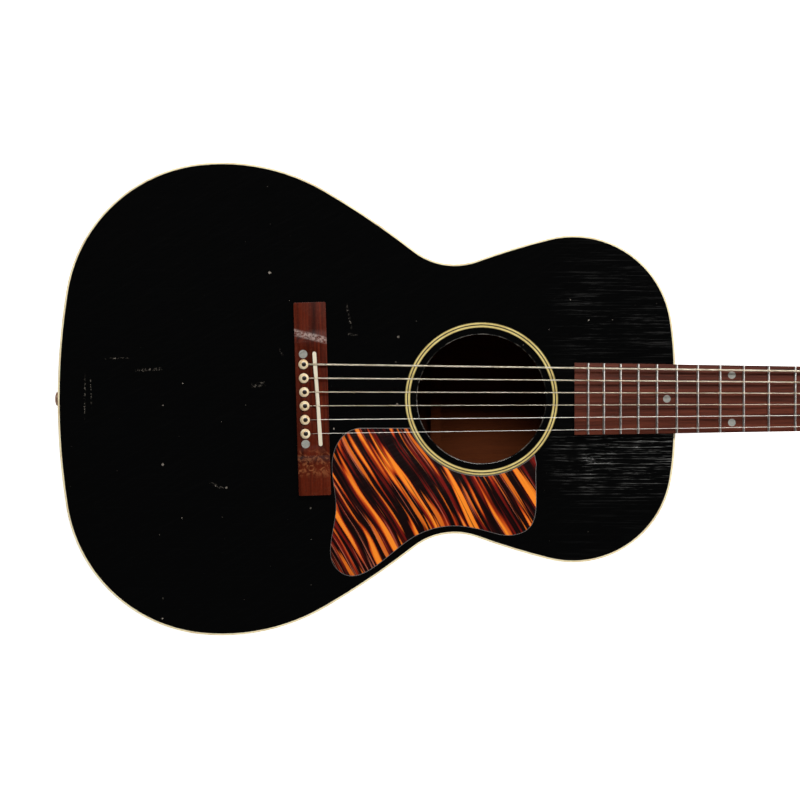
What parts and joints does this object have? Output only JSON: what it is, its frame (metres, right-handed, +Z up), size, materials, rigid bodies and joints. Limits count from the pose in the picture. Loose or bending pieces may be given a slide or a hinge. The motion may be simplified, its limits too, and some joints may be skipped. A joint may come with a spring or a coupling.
{
  "type": "acoustic guitar",
  "caption": "Small-bodied flat-top steel-string acoustic guitar in black lacquer, with turning tuners, a rosewood bridge with pull-out pins and a streaked pickguard.",
  "frame": {"origin": "on the surface that the back rests on, under the middle of the guitar's length", "axes": "+X from the tail to the headstock, +Y to the bass side, +Z up, out of the soundboard"},
  "size_m": [1.0182, 0.3752, 0.1121],
  "materials": {
    "black_lacquer": "gloss nitrocellulose lacquer, checked and nicked",
    "mahogany": "bare sanded wood",
    "spruce": "bare sanded wood",
    "maple": "bare sanded wood",
    "rosewood": "oiled, worn",
    "aged_cream": "aged celluloid",
    "streaked_celluloid": "polished, with orange and red streaks",
    "bone": "polished bone",
    "pearl": "mother of pearl",
    "pin_cream": "aged plastic with a dark dot",
    "pin_brown": "worn dark plastic",
    "nickel": "aged nickel plate",
    "brass": "dull brass",
    "button_cream": "aged celluloid",
    "plain_steel": "drawn wire",
    "wound_bronze": "wound wire",
    "black_plastic": "polished"
  },
  "bodies": {
    "root": {"soundboard": "black_lacquer", "back": "black_lacquer", "side_bass": "black_lacquer", "side_treble": "black_lacquer", "neck_block": "mahogany", "tail_block": "mahogany", "linings": "mahogany", "bindings": "aged_cream", "rosette": "aged_cream", "pickguard": "streaked_celluloid", "soundboard_braces": "spruce", "bridge_plate": "maple", "back_braces": "spruce", "end_pin": "pin_brown", "bridge": "rosewood", "saddle": "bone", "pearl_dots": "pearl", "bridge_bolts": "nickel", "neck": "black_lacquer", "heel_cap": "black_plastic", "fingerboard": "rosewood", "frets": "nickel", "nut": "bone", "truss_rod": "plain_steel", "truss_rod_cover": "black_plastic", "headstock_veneer": "black_lacquer", "tuner_plate_bass": "nickel", "tuner_plate_treble": "nickel", "wood_screws": "nickel", "post_bushings": "nickel", "string_1": "plain_steel", "string_2": "plain_steel", "string_3": "wound_bronze", "string_4": "wound_bronze", "string_5": "wound_bronze", "string_6": "wound_bronze"},
    "key_1": {"tuner_button_1": "button_cream", "tuner_worm_1": "nickel"},
    "post_1": {"tuner_post_1": "nickel"},
    "pin_1": {"bridge_pin_1": "pin_cream"},
    "key_2": {"tuner_button_2": "button_cream", "tuner_worm_2": "nickel"},
    "post_2": {"tuner_post_2": "nickel"},
    "pin_2": {"bridge_pin_2": "pin_cream"},
    "key_3": {"tuner_button_3": "button_cream", "tuner_worm_3": "nickel"},
    "post_3": {"tuner_post_3": "nickel"},
    "pin_3": {"bridge_pin_3": "pin_cream"},
    "key_4": {"tuner_button_4": "button_cream", "tuner_worm_4": "nickel"},
    "post_4": {"tuner_post_4": "nickel"},
    "pin_4": {"bridge_pin_4": "pin_cream"},
    "key_5": {"tuner_button_5": "button_cream", "tuner_worm_5": "nickel"},
    "post_5": {"tuner_post_5": "nickel"},
    "pin_5": {"bridge_pin_5": "pin_cream"},
    "key_6": {"tuner_button_6": "button_cream", "tuner_worm_6": "nickel"},
    "post_6": {"tuner_post_6": "nickel"},
    "pin_6": {"bridge_pin_6": "pin_cream"}
  },
  "joints": [
    {"name": "key_1_spin", "type": "hinge", "parent": "root", "child": "key_1", "pos_m": [0.38826, -0.021, 0.04096], "axis": [0, -1, 0], "continuous": true},
    {"name": "post_1_spin", "type": "hinge", "parent": "root", "child": "post_1", "pos_m": [0.38688, -0.021, 0.06096], "axis": [0.2961, 0, 0.9552], "continuous": true},
    {"name": "key_2_spin", "type": "hinge", "parent": "root", "child": "key_2", "pos_m": [0.42647, -0.021, 0.02911], "axis": [0, -1, 0], "continuous": true},
    {"name": "post_2_spin", "type": "hinge", "parent": "root", "child": "post_2", "pos_m": [0.42508, -0.021, 0.04912], "axis": [0.2961, 0, 0.9552], "continuous": true},
    {"name": "key_3_spin", "type": "hinge", "parent": "root", "child": "key_3", "pos_m": [0.46468, -0.021, 0.01727], "axis": [0, -1, 0], "continuous": true},
    {"name": "post_3_spin", "type": "hinge", "parent": "root", "child": "post_3", "pos_m": [0.46329, -0.021, 0.03728], "axis": [0.2961, 0, 0.9552], "continuous": true},
    {"name": "key_4_spin", "type": "hinge", "parent": "root", "child": "key_4", "pos_m": [0.46468, 0.021, 0.01727], "axis": [0, 1, 0], "continuous": true},
    {"name": "post_4_spin", "type": "hinge", "parent": "root", "child": "post_4", "pos_m": [0.46329, 0.021, 0.03728], "axis": [0.2961, 0, 0.9552], "continuous": true},
    {"name": "key_5_spin", "type": "hinge", "parent": "root", "child": "key_5", "pos_m": [0.42647, 0.021, 0.02911], "axis": [0, 1, 0], "continuous": true},
    {"name": "post_5_spin", "type": "hinge", "parent": "root", "child": "post_5", "pos_m": [0.42508, 0.021, 0.04912], "axis": [0.2961, 0, 0.9552], "continuous": true},
    {"name": "key_6_spin", "type": "hinge", "parent": "root", "child": "key_6", "pos_m": [0.38826, 0.021, 0.04096], "axis": [0, 1, 0], "continuous": true},
    {"name": "post_6_spin", "type": "hinge", "parent": "root", "child": "post_6", "pos_m": [0.38688, 0.021, 0.06096], "axis": [0.2961, 0, 0.9552], "continuous": true},
    {"name": "pin_1_pull", "type": "slide", "parent": "root", "child": "pin_1", "axis": [0.0388, 0, 0.9992], "range_m": [0, 0.03]},
    {"name": "pin_2_pull", "type": "slide", "parent": "root", "child": "pin_2", "axis": [0.0388, 0, 0.9992], "range_m": [0, 0.03]},
    {"name": "pin_3_pull", "type": "slide", "parent": "root", "child": "pin_3", "axis": [0.0388, 0, 0.9992], "range_m": [0, 0.03]},
    {"name": "pin_4_pull", "type": "slide", "parent": "root", "child": "pin_4", "axis": [0.0388, 0, 0.9992], "range_m": [0, 0.03]},
    {"name": "pin_5_pull", "type": "slide", "parent": "root", "child": "pin_5", "axis": [0.0388, 0, 0.9992], "range_m": [0, 0.03]},
    {"name": "pin_6_pull", "type": "slide", "parent": "root", "child": "pin_6", "axis": [0.0388, 0, 0.9992], "range_m": [0, 0.03]}
  ],
  "couplings": [
    {"joint": "post_1_spin", "follows": "key_1_spin", "ratio": 0.071429},
    {"joint": "post_2_spin", "follows": "key_2_spin", "ratio": 0.071429},
    {"joint": "post_3_spin", "follows": "key_3_spin", "ratio": 0.071429},
    {"joint": "post_4_spin", "follows": "key_4_spin", "ratio": -0.071429},
    {"joint": "post_5_spin", "follows": "key_5_spin", "ratio": -0.071429},
    {"joint": "post_6_spin", "follows": "key_6_spin", "ratio": -0.071429}
  ]
}
